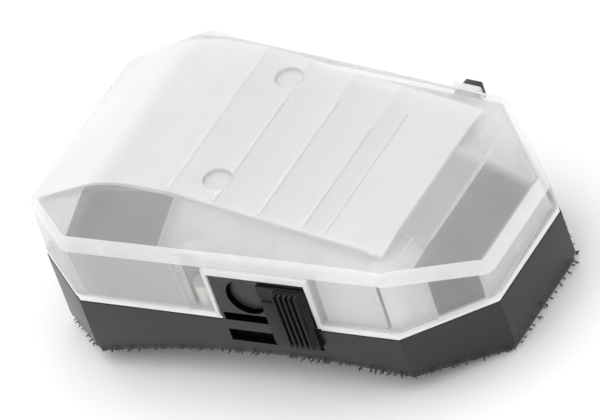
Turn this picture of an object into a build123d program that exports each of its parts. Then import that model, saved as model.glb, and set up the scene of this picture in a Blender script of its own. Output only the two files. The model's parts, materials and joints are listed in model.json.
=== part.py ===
"""Helmet marker light: a faceted clear cover on a dark tray that sticks to a helmet by a hook pad.

Millimetres, +Z up, +X along the light to its low end, +Y to the back. The origin is on the
floor, under the middle of the light, with both ends of the curved hook pad touching z = 0.
The seam between cover and tray is a plane, the deck, that leans down towards +X. Everything
that isn't the pad's arch is drawn on the deck or on planes square to it.
"""
from build123d import *
from math import atan2, cos, hypot, sin
import os

os.makedirs("parts", exist_ok=True)

# ---------------------------------------------------------------- overall size
length = 84.0
width_high_end = 52.6      # between the two corners near the high end
width_low_end = 45.6       # between the two corners near the low end
end_width_high = 34.6      # flat end wall, high end
end_width_low = 21.4       # flat end wall, low end
chamfer_high = 11.7        # corner's distance from the high end
chamfer_low = 12.6         # corner's distance from the low end

tray_depth_high = 13.3     # seam to the tray's lower edge, high end
tray_depth_low = 9.1       # the same at the low end
arch_rise = 5.3            # how far the helmet's curve comes up under the pad

# the cover's lines: how high they run above the seam
wall_rise_high = 12.3
wall_rise_corner = 13.0
wall_rise_low = 7.6
crest_rise = 20.4
slope_end_rise = 14.5
step_top_rise = 13.9
step_foot_rise = 12.1
wall_draft = 0.04          # how far the cover's walls lean in, per unit of height

# ---------------------------------------------------------------- walls and fits
cover_wall = 1.6
tray_wall = 2.2
tray_floor = 1.5
gasket_thickness = 0.8
gasket_width = 1.5
pad_thickness = 1.6
pad_inset = 0.5
fit_gap = 0.2              # between two fixed pieces
slide_gap = 0.05           # between a sliding piece and its track
liner_gap = 0.3
liner_wall = 1.0

# ---------------------------------------------------------------- cover screws
boss_radius = 2.6
boss_high_x = -7.2         # the pair near the middle
boss_high_inset = 3.346    # seam's edge to their middles
boss_low_back = 2.2        # low corner back to the other pair
boss_low_inset = 4.529
screw_radius = 1.0
screw_head_radius = 1.9
screw_head_height = 1.3
screw_seat = -2.2          # the head's seat in the tray, below the seam
screw_reach = 5.0          # how far the screw goes into the cover
insert_radius = 1.7

# ---------------------------------------------------------------- front panel
panel_x = 5.8              # the middle of the cover's window, along the light
window_width = 18.2
window_top = 10.2
bore_radius = 3.7
bore_at = (-2.8, 5.9)      # along the panel, above the seam
button_gap = 0.1
button_recess = 0.9
button_travel = 0.8
slot_low = 0.2             # the slot that the slider's post runs in
slot_high = 1.9
groove_low = -4.4          # the groove that the slider's tongue runs in
groove_high = -1.9
groove_depth = 1.1
slider_travel = 7.0
plate_width = 8.7
plate_thickness = 1.0
plate_bottom = -3.3
plate_top = 6.4
grip_width = 5.0
grip_rise = 1.1            # how far the thumb grip stands out from the plate
grip_ribs = 5
post_width = 3.6
switch_depth = 6.9         # panel face to the face of the switch board
switch_board_thickness = 1.0

# ---------------------------------------------------------------- rear button
rear_x = 21.0
rear_button_width = 3.2
rear_button_height = 3.0
rear_button_low = 8.8
rear_button_reach = 2.3    # how far it stands out of the back wall
rear_button_travel = 0.8

# ---------------------------------------------------------------- inside
guide_x = 8.7
guide_width = 2.4
guide_top_y = -15.4
guide_thickness = 1.5
guide_clear = 0.9          # cover's wall to the light guide's outer face
guide_below_edge = 1.9     # cover's wall edge down to the guide's bend
guide_below_roof = 2.9     # roof's top down to the guide's upper end
flange_thickness = 0.6     # the mode button's flange and the slider's retainer
stem_radius = 1.1
button_rounding = 0.4
grip_bottom = -2.4
grip_top = 9.0
tongue_height = 1.1
toggle_width = 1.1
toggle_height = 1.0
slide_switch_depth = 2.0
tact_height = 1.7
tact_size = 5.0
tact_plunger_radius = 1.3
tact_plunger_height = 0.4
rear_inner = 2.3           # back wall's face to the rear button's flange
rear_flange_thickness = 0.5
rear_button_rounding = 0.45
rear_switch_depth = 1.4
rear_depth = 5.5
board_low = -3.0
board_thickness = 1.0
board_edge = [              # places along the board's edge, and how far inside the outline each is
    (-9.0, 10.05), (-4.0, 4.76), (21.0, 3.29), (25.2, 8.05), (34.0, 8.38), (36.5, 8.98),
]
board_spots = [(-6.3, -11.0), (-6.3, 11.0), (27.0, -10.5), (27.0, 10.5)]
board_post_radius = 2.0
board_screw_radius = 0.7
board_screw_reach = 1.8
reflectors = {             # low x, high x, half-width, height
    "wide_reflector": (-3.5, 12.5, 13.0, 7.0),
    "narrow_reflector": (15.0, 23.0, 11.0, 6.0),
}
emitters = {               # places, package size, dome radius
    "visible_leds": ([(x, y) for x in (0.5, 4.5, 8.5) for y in (-6, 6)], 3.0, 1.2),
    "signal_leds": ([(19.0, -5), (19.0, 5)], 3.0, 1.2),
}
infrared_x = 33.0
infrared_length = 7.0
infrared_width = 13.0
infrared_height = 4.6
infrared_lens_radius = 2.3
infrared_spots = [(infrared_x, -3.1), (infrared_x, 3.1)]
board_parts = {            # places and size
    "driver_chip": ([(26.6, 0.0)], (3.0, 4.0, 0.9)),
    "power_inductor": ([(26.6, 5.4)], (4.0, 4.0, 2.0)),
    "filter_capacitors": ([(26.6, -4.2), (26.6, -6.6)], (2.6, 1.6, 1.2)),
}
battery_radius = 8.5
battery_length = 34.5
battery_x = -22.0
battery_axis_rise = 3.8
cradle_wall = 1.6
contact_thickness = 0.4
contact_drop = 0.7         # the cell's top down to the tips of the contacts
lead_radius = 0.5
lead_pad = (-7.9, 14.4)    # where the leads meet the board, on both sides
liner_start = -9.4
liner_end = 24.2

# ---------------------------------------------------------------- frames worked out from the sizes
tilt = atan2(tray_depth_high - tray_depth_low, length)
deck_x = (tray_depth_high - wall_rise_low) * sin(tilt) / 2
deck_z = pad_thickness + (tray_depth_high + tray_depth_low) / 2 * cos(tilt)
deck = Plane(
    origin=(deck_x, 0, deck_z),
    x_dir=(cos(tilt), 0, -sin(tilt)),
    z_dir=(sin(tilt), 0, cos(tilt)),
)

end_high = -length / 2
end_low = length / 2
corner_high = end_high + chamfer_high
corner_low = end_low - chamfer_low
crest_start = corner_high + 6.3
crest_end = crest_start + 13.0
slope_end = corner_low - 5.4
step_top = corner_low - 1.7
step_foot = corner_low + 3.1

# the pad's lower face is part of a cylinder that meets the floor at both ends of the pad
pad_end_high = deck_x - (length / 2 - pad_inset) * cos(tilt) - tray_depth_high * sin(tilt)
pad_end_low = deck_x + (length / 2 - pad_inset) * cos(tilt) - tray_depth_low * sin(tilt)
arch_x = (pad_end_high + pad_end_low) / 2
pad_span = pad_end_low - pad_end_high
helmet_radius = (pad_span**2 / 4 + arch_rise**2) / (2 * arch_rise)
tall = 3 * crest_rise      # longer than anything it cuts


outline_corners = [
    (end_high, end_width_high / 2),
    (corner_high, width_high_end / 2),
    (corner_low, width_low_end / 2),
    (end_low, end_width_low / 2),
]


def lerp(x, x0, x1, y0, y1):
    """The value at x on the straight line from (x0, y0) to (x1, y1)."""
    return y0 + (y1 - y0) * (x - x0) / (x1 - x0)


def seam_half(x):
    """Half the width of the light at the seam, at x along the deck."""
    if x < corner_high:
        return lerp(x, end_high, corner_high, end_width_high / 2, width_high_end / 2)
    if x > corner_low:
        return lerp(x, corner_low, end_low, width_low_end / 2, end_width_low / 2)
    return lerp(x, corner_high, corner_low, width_high_end / 2, width_low_end / 2)


def wall_rise(x):
    """Height above the seam of the edge where the cover's wall meets its roof."""
    if x > corner_low:
        return lerp(x, corner_low, end_low, wall_rise_corner, wall_rise_low)
    return lerp(x, end_high, corner_low, wall_rise_high, wall_rise_corner)


boss_low_x = corner_low - boss_low_back
boss_spots = [
    (x, side * (seam_half(x) - inset))
    for x, inset in ((boss_high_x, boss_high_inset), (boss_low_x, boss_low_inset))
    for side in (-1, 1)
]

# the roof's lines: place along the deck, half-width of the top, height of the top
crest_half = width_high_end / 2 - 6.9
slope_half = width_low_end / 2 - 5.8
step_half = end_width_low / 2 + 1.1
corner_top_rise = lerp(corner_high, end_high, crest_start, wall_rise_high, crest_rise)
corner_low_rise = lerp(corner_low, step_top, step_foot, step_top_rise, step_foot_rise)
roof_lines = [
    (end_high, end_width_high / 2 - 0.8, wall_rise_high + 0.4),
    (corner_high, end_width_high / 2 + 1.3, corner_top_rise),
    (crest_start, crest_half, crest_rise),
    (crest_end, crest_half - 1.6, crest_rise),
    (slope_end, slope_half, slope_end_rise),
    (step_top, step_half, step_top_rise),
    (corner_low, step_half - 0.4, corner_low_rise),
    (step_foot, step_half - 1.0, step_foot_rise),
    (end_low, end_width_low / 2 - 0.6, wall_rise_low + 0.4),
]


def across(x):
    """Plane square to the light at x along the deck: sketch x is +Y, sketch y is up."""
    return Plane(origin=deck.from_local_coords((x, 0, 0)), x_dir=(0, 1, 0), z_dir=deck.x_dir)


def cover_section(x, top_half, top_rise, inset, low):
    """Corners of the cover's cross-section at x, moved in by inset, down to the height low."""
    rise = wall_rise(x)
    wall_half = seam_half(x) - wall_draft * rise - inset
    foot_half = seam_half(x) - inset
    shoulder = rise - 0.45 * inset
    top = top_rise - inset
    corner = top_half - 0.45 * inset
    right = [(foot_half, low), (wall_half, shoulder), (corner, top)]
    return right + [(-y, z) for y, z in reversed(right)]


def cover_lines(inset, start, end):
    """The roof lines between two places, each end moved in by inset."""
    lines = [line for line in roof_lines if start + 2 * inset < line[0] < end - 2 * inset]
    first = next((line for line in roof_lines if line[0] == start), None)
    last = next((line for line in roof_lines if line[0] == end), None)
    if first:
        lines.insert(0, (start + inset, first[1], first[2] + 0.4 * inset))
    if last:
        lines.append((end - inset, last[1], last[2] + 0.4 * inset))
    return lines


def roof_at(x):
    """Half-width and height of the roof's top at x along the deck."""
    for (x0, half0, rise0), (x1, half1, rise1) in zip(roof_lines, roof_lines[1:]):
        if x0 <= x <= x1:
            return lerp(x, x0, x1, half0, half1), lerp(x, x0, x1, rise0, rise1)
    raise ValueError(f"{x} isn't on the light")


def outline(inset=0.0):
    """Corners of the light's outline at the seam, with every side moved in by inset."""
    back_sides = []
    for (x0, y0), (x1, y1) in zip(outline_corners, outline_corners[1:]):
        slope = (y1 - y0) / (x1 - x0)
        back_sides.append((slope, y0 - slope * x0 - inset * hypot(1, slope)))
    stops = [end_high + inset]
    for (slope, start), (next_slope, next_start) in zip(back_sides, back_sides[1:]):
        stops.append((next_start - start) / (slope - next_slope))
    stops.append(end_low - inset)
    back = [(x, slope * x + start) for x, (slope, start) in zip(stops, [back_sides[0], *back_sides])]
    return back + [(x, -y) for x, y in reversed(back)]


def panel_plane(x, side):
    """Plane of the side wall at x; side is -1 at the front and 1 at the back. Normal outward."""
    run = corner_low - corner_high
    lean = (width_high_end - width_low_end) / 2 / run
    along = Vector(1, -side * lean, 0).normalized()
    outward = Vector(lean, side, 0).normalized()
    middle = deck.from_local_coords((x, side * seam_half(x), 0))
    turned = deck.from_local_coords(along) - deck.origin
    facing = deck.from_local_coords(outward) - deck.origin
    return Plane(origin=middle, x_dir=turned * -side, z_dir=facing)


front = panel_plane(panel_x, -1)
rear = panel_plane(rear_x, 1)
mid_slot = (slot_low + slot_high) / 2
plate_right = window_width / 2 - 0.3
plate_middle = plate_right - plate_width / 2
post_middle = plate_middle
grip_middle = plate_right - grip_width / 2 - 0.4
tab_half = window_width / 2 - fit_gap
tab_top = window_top - fit_gap
board_top = board_low + board_thickness

# ================================================================ casing
with BuildPart() as helmet:
    with BuildSketch(Plane.XZ.offset(-width_high_end)):
        with Locations((arch_x, arch_rise - helmet_radius)):
            Circle(helmet_radius)
    extrude(amount=2 * width_high_end)

with BuildPart() as pad_arch:
    with BuildSketch(Plane.XZ.offset(-width_high_end)):
        with Locations((arch_x, arch_rise - helmet_radius)):
            Circle(helmet_radius + pad_thickness)
    extrude(amount=2 * width_high_end)

with BuildPart() as floor_arch:
    with BuildSketch(Plane.XZ.offset(-width_high_end)):
        with Locations((arch_x, arch_rise - helmet_radius)):
            Circle(helmet_radius + pad_thickness + tray_floor)
    extrude(amount=2 * width_high_end)

with BuildPart() as hook_pad:
    with BuildSketch(deck.offset(-tall)):
        Polygon(*outline(pad_inset), align=None)
    extrude(amount=tall)
    add(pad_arch.part, mode=Mode.INTERSECT)
    add(helmet.part, mode=Mode.SUBTRACT)
hook_pad.part.label = "hook_pad"
export_step(hook_pad.part, "parts/hook_pad.step")

with BuildPart() as tray_hollow:
    with BuildSketch(deck.offset(-tall)):
        Polygon(*outline(tray_wall), align=None)
    extrude(amount=tall)
    add(floor_arch.part, mode=Mode.SUBTRACT)

with BuildPart() as base_tray:
    with BuildSketch(deck.offset(-tall)):
        Polygon(*outline(), align=None)
    extrude(amount=tall)
    add(tray_hollow.part, mode=Mode.SUBTRACT)
    # the panel that stands up in the cover's window
    with BuildSketch(front.offset(-tray_wall)):
        with Locations((0, tab_top / 2 - 1)):
            Rectangle(2 * tab_half, tab_top + 2)
    extrude(amount=tray_wall)
    # posts for the cover's screws and for the circuit board
    with BuildSketch(deck.offset(-tall)):
        with Locations(*boss_spots):
            Circle(boss_radius)
    extrude(amount=tall)
    with BuildSketch(deck.offset(-tall)):
        with Locations(*board_spots):
            Circle(board_post_radius)
    extrude(amount=tall + board_low)
    add(pad_arch.part, mode=Mode.SUBTRACT)
    with BuildSketch(deck.offset(-tall)):
        with Locations(*boss_spots):
            Circle(screw_radius + fit_gap)
    extrude(amount=tall, mode=Mode.SUBTRACT)
    with BuildSketch(deck.offset(-tall)):
        with Locations(*boss_spots):
            Circle(screw_head_radius + fit_gap)
    extrude(amount=tall + screw_seat, mode=Mode.SUBTRACT)
    with BuildSketch(deck.offset(board_low)):
        with Locations(*board_spots):
            Circle(board_screw_radius)
    extrude(amount=-board_screw_reach - fit_gap, mode=Mode.SUBTRACT)
    # the button's bore, the post's slot and the tongue's groove
    with BuildSketch(front):
        with Locations(bore_at):
            Circle(bore_radius)
        with Locations((0, mid_slot)):
            Rectangle(2 * tab_half - 1.0, slot_high - slot_low)
    extrude(amount=-tray_wall, mode=Mode.SUBTRACT)
    with BuildSketch(front):
        with Locations((0, (groove_low + groove_high) / 2)):
            Rectangle(2 * tab_half - 0.6, groove_high - groove_low)
    extrude(amount=-groove_depth, mode=Mode.SUBTRACT)
base_tray.part.label = "base_tray"
export_step(base_tray.part, "parts/base_tray.step")

with BuildPart() as seam_gasket:
    with BuildSketch(deck):
        Polygon(*outline(fit_gap), align=None)
        Polygon(*outline(fit_gap + gasket_width), align=None, mode=Mode.SUBTRACT)
        with Locations((panel_x, -seam_half(panel_x))):
            Rectangle(2 * tab_half + 2 * fit_gap, 4 * tray_wall, mode=Mode.SUBTRACT)
        with Locations(*boss_spots):
            Circle(boss_radius + fit_gap, mode=Mode.SUBTRACT)
    extrude(amount=gasket_thickness)
seam_gasket.part.label = "seam_gasket"
export_step(seam_gasket.part, "parts/seam_gasket.step")

# the cover's outer and inner shapes, each a run of straight-sided cross-sections
cover_foot = gasket_thickness
with BuildPart() as cover_shape:
    for x, top_half, top_rise in cover_lines(0, end_high, end_low):
        with BuildSketch(across(x)):
            Polygon(*cover_section(x, top_half, top_rise, 0, cover_foot), align=None)
    loft(ruled=True)

with BuildPart() as cover_hollow:
    for x, top_half, top_rise in cover_lines(cover_wall, end_high, end_low):
        with BuildSketch(across(x)):
            Polygon(*cover_section(x, top_half, top_rise, cover_wall, -1), align=None)
    loft(ruled=True)

with BuildPart() as cover_bosses:
    with BuildSketch(deck.offset(cover_foot)):
        with Locations(*boss_spots):
            Circle(boss_radius)
    extrude(amount=tall)
    add(cover_shape.part, mode=Mode.INTERSECT)

with BuildPart() as lens_cover:
    add(cover_shape.part)
    add(cover_hollow.part, mode=Mode.SUBTRACT)
    add(cover_bosses.part)
    # the window that the tray's panel stands in
    with BuildSketch(front.offset(1)):
        with Locations((0, window_top / 2)):
            Rectangle(window_width, window_top)
    extrude(amount=-3 * cover_wall, mode=Mode.SUBTRACT)
    # screw holes and seats for the threaded inserts
    with BuildSketch(deck):
        with Locations(*boss_spots):
            Circle(screw_radius + fit_gap)
    extrude(amount=screw_reach + 1, mode=Mode.SUBTRACT)
    with BuildSketch(deck):
        with Locations(*boss_spots):
            Circle(insert_radius)
    extrude(amount=screw_reach, mode=Mode.SUBTRACT)
    # hole for the rear button
    with BuildSketch(rear.offset(1)):
        with Locations((0, rear_button_low + rear_button_height / 2)):
            Rectangle(rear_button_width + 2 * button_gap, rear_button_height + 2 * button_gap)
    extrude(amount=-3 * cover_wall, mode=Mode.SUBTRACT)
lens_cover.part.label = "lens_cover"
export_step(lens_cover.part, "parts/lens_cover.step")

with BuildPart() as cover_inserts:
    with BuildSketch(deck.offset(cover_foot + 0.2)):
        with Locations(*boss_spots):
            Circle(insert_radius)
            Circle(screw_radius, mode=Mode.SUBTRACT)
    extrude(amount=screw_reach - cover_foot - 0.4)
cover_inserts.part.label = "cover_inserts"
export_step(cover_inserts.part, "parts/cover_inserts.step")

with BuildPart() as cover_screws:
    with BuildSketch(deck.offset(screw_seat - screw_head_height)):
        with Locations(*boss_spots):
            Circle(screw_head_radius)
    extrude(amount=screw_head_height)
    with BuildSketch(deck.offset(screw_seat)):
        with Locations(*boss_spots):
            Circle(screw_radius)
    extrude(amount=screw_reach - screw_seat - 0.3)
    with BuildSketch(deck.offset(screw_seat - screw_head_height)):
        with Locations(*boss_spots):
            RegularPolygon(screw_radius * 0.75, 6)
    extrude(amount=screw_head_height * 0.6, mode=Mode.SUBTRACT)
cover_screws.part.label = "cover_screws"
export_step(cover_screws.part, "parts/cover_screws.step")

# ================================================================ frosted liner and light guide
# an open-ended tunnel close under the middle of the cover
liner_foot = cover_foot + fit_gap
with BuildPart() as liner_shape:
    for x in (liner_start, liner_end):
        with BuildSketch(across(x)):
            Polygon(*cover_section(x, *roof_at(x), cover_wall + liner_gap, liner_foot), align=None)
    loft(ruled=True)

with BuildPart() as liner_hollow:
    for x in (liner_start - 0.01, liner_end + 0.01):
        with BuildSketch(across(x)):
            inset = cover_wall + liner_gap + liner_wall
            Polygon(*cover_section(x, *roof_at(x), inset, liner_foot - 1), align=None)
    loft(ruled=True)

with BuildPart() as inner_liner:
    add(liner_shape.part)
    add(liner_hollow.part, mode=Mode.SUBTRACT)
    with BuildSketch(deck):
        with Locations(*boss_spots):
            Circle(boss_radius + liner_gap)
    extrude(amount=tall, mode=Mode.SUBTRACT)
    # room for the front panel's works, for the light guide and for the rear button
    with BuildSketch(front.offset(1)):
        with Locations((0, tab_top / 2)):
            Rectangle(window_width + 2 * fit_gap, tab_top + 4 * fit_gap)
    extrude(amount=-switch_depth - 3, mode=Mode.SUBTRACT)
    with BuildSketch(across(guide_x - guide_width / 2 - fit_gap)):
        guide_room_y = guide_top_y + 2 * fit_gap
        Polygon((-tall, 0), (-tall, tall), (guide_room_y, tall), (guide_room_y, 0), align=None)
    extrude(amount=guide_width + 2 * fit_gap, mode=Mode.SUBTRACT)
    with BuildSketch(rear.offset(1)):
        with Locations((0, (rear_button_low + rear_button_height + 0.5) / 2)):
            Rectangle(rear_button_width + 3.8, rear_button_low + rear_button_height + 0.5)
    extrude(amount=-1 - rear_depth, mode=Mode.SUBTRACT)
inner_liner.part.label = "inner_liner"
export_step(inner_liner.part, "parts/inner_liner.step")

# a clear bar that leans along the front of the roof, from the panel's top to the crown
guide_rise = roof_at(guide_x)[1]
shoulder_half = seam_half(guide_x) - wall_draft * wall_rise(guide_x) - cover_wall
guide_outer_y = -shoulder_half + guide_clear
guide_foot = tab_top + 0.5
with BuildPart() as light_guide:
    with BuildSketch(across(guide_x - guide_width / 2)):
        with BuildLine():
            bend = (guide_outer_y, wall_rise(guide_x) - guide_below_edge)
            lean = Line(bend, (guide_top_y, guide_rise - guide_below_roof))
            Polyline(
                lean @ 1,
                (guide_top_y, guide_rise - guide_below_roof - guide_thickness),
                (guide_outer_y + guide_thickness + fit_gap, guide_foot),
                (guide_outer_y, guide_foot),
                lean @ 0,
            )
        make_face()
    extrude(amount=guide_width)
light_guide.part.label = "light_guide"
export_step(light_guide.part, "parts/light_guide.step")

# ================================================================ slider on the front panel
def level(height):
    """Plane square to the front panel at a height above the seam: sketch x runs along it."""
    return Plane(origin=front.from_local_coords((0, height, 0)), x_dir=front.x_dir, z_dir=deck.z_dir)


plate_low = slide_gap
plate_face = plate_low + plate_thickness
rib_pitch = grip_width / grip_ribs
fork_start = tray_wall + 1.1
post_end = fork_start + 1.1
with BuildPart() as mode_slider:
    with BuildSketch(front.offset(plate_low)):
        with Locations((plate_middle, (plate_bottom + window_top) / 2 - 0.4)):
            Rectangle(plate_width, window_top - plate_bottom - 0.8)
    extrude(amount=plate_thickness * 0.6)
    with BuildSketch(front.offset(plate_low)):
        with Locations((plate_middle + 0.25, (plate_bottom + plate_top) / 2)):
            Rectangle(plate_width - 0.5, plate_top - plate_bottom)
    extrude(amount=plate_thickness)
    with BuildSketch(level(grip_bottom)):
        with BuildLine():
            left = grip_middle - grip_width / 2
            ridges = [(left, -plate_low)]
            for rib in range(grip_ribs):
                start = left + rib * rib_pitch
                ridges.append((start, -plate_face))
                ridges.append((start + rib_pitch * 0.3, -plate_face - grip_rise))
                ridges.append((start + rib_pitch * 0.7, -plate_face - grip_rise))
            ridges.append((left + grip_width, -plate_face))
            ridges.append((left + grip_width, -plate_low))
            Polyline(*ridges, close=True)
        make_face()
    extrude(amount=grip_top - grip_bottom)
    # tongue in the groove
    with BuildSketch(front.offset(-groove_depth + fit_gap)):
        with Locations((plate_middle, groove_high - slide_gap - tongue_height / 2)):
            Rectangle(plate_width - 1.2, tongue_height)
    extrude(amount=groove_depth - fit_gap + plate_low)
    # post through the slot, forked for the switch's toggle
    with BuildSketch(front.offset(-post_end)):
        with Locations((post_middle, mid_slot)):
            Rectangle(post_width, slot_high - slot_low - 2 * slide_gap)
    extrude(amount=post_end + plate_low)
    with BuildSketch(front.offset(-fork_start)):
        with Locations((post_middle, mid_slot)):
            Rectangle(toggle_width + 2 * slide_gap, slot_high)
    extrude(amount=-post_end, mode=Mode.SUBTRACT)
mode_slider.part.label = "mode_slider"
export_step(mode_slider.part, "parts/mode_slider.step")

retainer_low = mid_slot - (slot_high - slot_low) / 2 + slide_gap - 1.2
retainer_high = slot_high - slide_gap
with BuildPart() as slider_retainer:
    with BuildSketch(front.offset(-tray_wall - slide_gap)):
        with Locations((post_middle, (retainer_low + retainer_high) / 2)):
            Rectangle(post_width + 2.4, retainer_high - retainer_low)
        with Locations((post_middle, mid_slot + 0.6)):
            Rectangle(post_width, slot_high - slot_low - 2 * slide_gap + 1.2, mode=Mode.SUBTRACT)
    extrude(amount=-flange_thickness)
slider_retainer.part.label = "slider_retainer"
export_step(slider_retainer.part, "parts/slider_retainer.step")

switch_face = switch_depth - slide_switch_depth
with BuildPart() as switch_toggle:
    with BuildSketch(front.offset(-fork_start - slide_gap)):
        with Locations((post_middle, mid_slot)):
            Rectangle(toggle_width, toggle_height)
    extrude(amount=-(switch_face + 0.6 - fork_start))
switch_toggle.part.label = "switch_toggle"
export_step(switch_toggle.part, "parts/switch_toggle.step")

slide_switch_middle = post_middle - slider_travel / 2
with BuildPart() as slide_switch:
    with BuildSketch(front.offset(-switch_face)):
        with Locations((slide_switch_middle, mid_slot)):
            Rectangle(slider_travel + toggle_width + 2.4, toggle_height + 1.4)
    extrude(amount=-slide_switch_depth)
    with BuildSketch(front.offset(-switch_face)):
        with Locations((slide_switch_middle, mid_slot)):
            Rectangle(slider_travel + toggle_width + 2 * fit_gap, toggle_height + 2 * slide_gap)
    extrude(amount=-0.9, mode=Mode.SUBTRACT)
slide_switch.part.label = "slide_switch"
export_step(slide_switch.part, "parts/slide_switch.step")

# ================================================================ mode button in the bore
flange_start = tray_wall + slide_gap
tact_face = switch_depth - tact_height
with BuildPart() as mode_button:
    with BuildSketch(front.offset(-button_recess)):
        with Locations(bore_at):
            Circle(bore_radius - button_gap)
    extrude(amount=-(flange_start - button_recess))
    with BuildSketch(front.offset(-flange_start)):
        with Locations(bore_at):
            Circle(bore_radius + fit_gap)
    extrude(amount=-flange_thickness)
    with BuildSketch(front.offset(-flange_start)):
        with Locations(bore_at):
            Circle(stem_radius)
    extrude(amount=-(tact_face - button_travel - slide_gap - flange_start))
    cap = mode_button.faces().sort_by(Axis(front.origin, front.z_dir))[-1]
    fillet(cap.edges(), button_rounding)
mode_button.part.label = "mode_button"
export_step(mode_button.part, "parts/mode_button.step")

with BuildPart() as mode_switch:
    with BuildSketch(front.offset(-switch_depth)):
        with Locations(bore_at):
            Rectangle(tact_size, tact_size)
    extrude(amount=tact_height - tact_plunger_height)
    with BuildSketch(front.offset(-switch_depth)):
        with Locations(bore_at):
            Circle(tact_plunger_radius)
    extrude(amount=tact_height)
mode_switch.part.label = "mode_switch"
export_step(mode_switch.part, "parts/mode_switch.step")

with BuildPart() as switch_board:
    with BuildSketch(front.offset(-switch_depth)):
        with Locations((0, (board_top + tab_top) / 2 - 0.1)):
            Rectangle(window_width - 1, tab_top - board_top - 0.2)
    extrude(amount=-switch_board_thickness)
switch_board.part.label = "switch_board"
export_step(switch_board.part, "parts/switch_board.step")

guide_along = front.to_local_coords(Vector(*deck.from_local_coords((guide_x, -seam_half(guide_x), 0)))).X
with BuildPart() as indicator_led:
    with BuildSketch(front.offset(-switch_depth)):
        with Locations((guide_along, tab_top - 1.2)):
            Rectangle(2.0, 1.2)
    extrude(amount=1.0)
indicator_led.part.label = "indicator_led"
export_step(indicator_led.part, "parts/indicator_led.step")

# ================================================================ rear button
rear_middle = rear_button_low + rear_button_height / 2
with BuildPart() as rear_button:
    with BuildSketch(rear.offset(-rear_inner)):
        with Locations((0, rear_middle)):
            Rectangle(rear_button_width, rear_button_height)
    extrude(amount=rear_inner + rear_button_reach)
    cap = rear_button.faces().sort_by(Axis(rear.origin, rear.z_dir))[-1]
    fillet(cap.edges(), rear_button_rounding)
    with BuildSketch(rear.offset(-rear_inner)):
        with Locations((0, rear_middle - 0.2)):
            Rectangle(rear_button_width + 1.2, rear_button_height + 0.8)
    extrude(amount=-rear_flange_thickness)
rear_button.part.label = "rear_button"
export_step(rear_button.part, "parts/rear_button.step")

with BuildPart() as rear_switch:
    with BuildSketch(rear.offset(-rear_inner - rear_flange_thickness - rear_button_travel - slide_gap)):
        with Locations((0, (board_top + rear_middle + 1.2) / 2)):
            Rectangle(rear_button_width + 1.0, rear_middle + 1.2 - board_top)
    extrude(amount=-rear_switch_depth)
rear_switch.part.label = "rear_switch"
export_step(rear_switch.part, "parts/rear_switch.step")

# ================================================================ circuit board and what is on it
with BuildPart() as circuit_board:
    with BuildSketch(deck.offset(board_low)):
        side = [(x, seam_half(x) - margin) for x, margin in board_edge]
        Polygon(*side, *[(x, -y) for x, y in reversed(side)], align=None)
        with Locations(*board_spots):
            Circle(board_screw_radius + fit_gap, mode=Mode.SUBTRACT)
    extrude(amount=board_thickness)
circuit_board.part.label = "circuit_board"
export_step(circuit_board.part, "parts/circuit_board.step")

with BuildPart() as board_screws:
    with BuildSketch(deck.offset(board_top)):
        with Locations(*board_spots):
            Circle(1.3)
    extrude(amount=0.8)
    with BuildSketch(deck.offset(board_top)):
        with Locations(*board_spots):
            Circle(board_screw_radius - slide_gap)
    extrude(amount=-board_thickness - board_screw_reach)
    with BuildSketch(deck.offset(board_top + 0.8)):
        with Locations(*board_spots):
            RegularPolygon(0.6, 6)
    extrude(amount=-0.5, mode=Mode.SUBTRACT)
board_screws.part.label = "board_screws"
export_step(board_screws.part, "parts/board_screws.step")

for name, (low_x, high_x, half_y, height) in reflectors.items():
    middle = ((low_x + high_x) / 2, 0)
    with BuildPart() as reflector:
        with BuildSketch(deck.offset(board_top)):
            with Locations(middle):
                Rectangle(high_x - low_x, 2 * half_y)
        extrude(amount=height)
        with BuildSketch(deck.offset(board_top + height)):
            with Locations(middle):
                Rectangle(high_x - low_x - 1.6, 2 * half_y - 1.6)
        extrude(amount=-height, taper=8, mode=Mode.SUBTRACT)
    reflector.part.label = name
    export_step(reflector.part, f"parts/{name}.step")

for name, (spots, size, dome) in emitters.items():
    with BuildPart() as emitter:
        with BuildSketch(deck.offset(board_top)):
            with Locations(*spots):
                Rectangle(size, size)
        extrude(amount=0.9)
        with BuildSketch(deck.offset(board_top + 0.9)):
            with Locations(*spots):
                Circle(dome)
        extrude(amount=0.7, taper=25)
    emitter.part.label = name
    export_step(emitter.part, f"parts/{name}.step")

with BuildPart() as infrared_housing:
    with BuildSketch(deck.offset(board_top)):
        with Locations((infrared_x, 0)):
            Rectangle(infrared_length, infrared_width)
    extrude(amount=infrared_height)
    with BuildSketch(deck.offset(board_top)):
        with Locations(*infrared_spots):
            Circle(infrared_lens_radius + fit_gap)
    extrude(amount=infrared_height, mode=Mode.SUBTRACT)
infrared_housing.part.label = "infrared_housing"
export_step(infrared_housing.part, "parts/infrared_housing.step")

with BuildPart() as infrared_leds:
    with BuildSketch(deck.offset(board_top)):
        with Locations(*infrared_spots):
            Circle(infrared_lens_radius)
    extrude(amount=infrared_height)
    fillet(infrared_leds.faces().filter_by(deck).group_by(Axis(deck.origin, deck.z_dir))[-1].edges(), 1.2)
infrared_leds.part.label = "infrared_leds"
export_step(infrared_leds.part, "parts/infrared_leds.step")

for name, (spots, (size_x, size_y, size_z)) in board_parts.items():
    with BuildPart() as component:
        with BuildSketch(deck.offset(board_top)):
            with Locations(*spots):
                Rectangle(size_x, size_y)
        extrude(amount=size_z)
    component.part.label = name
    export_step(component.part, f"parts/{name}.step")

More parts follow.
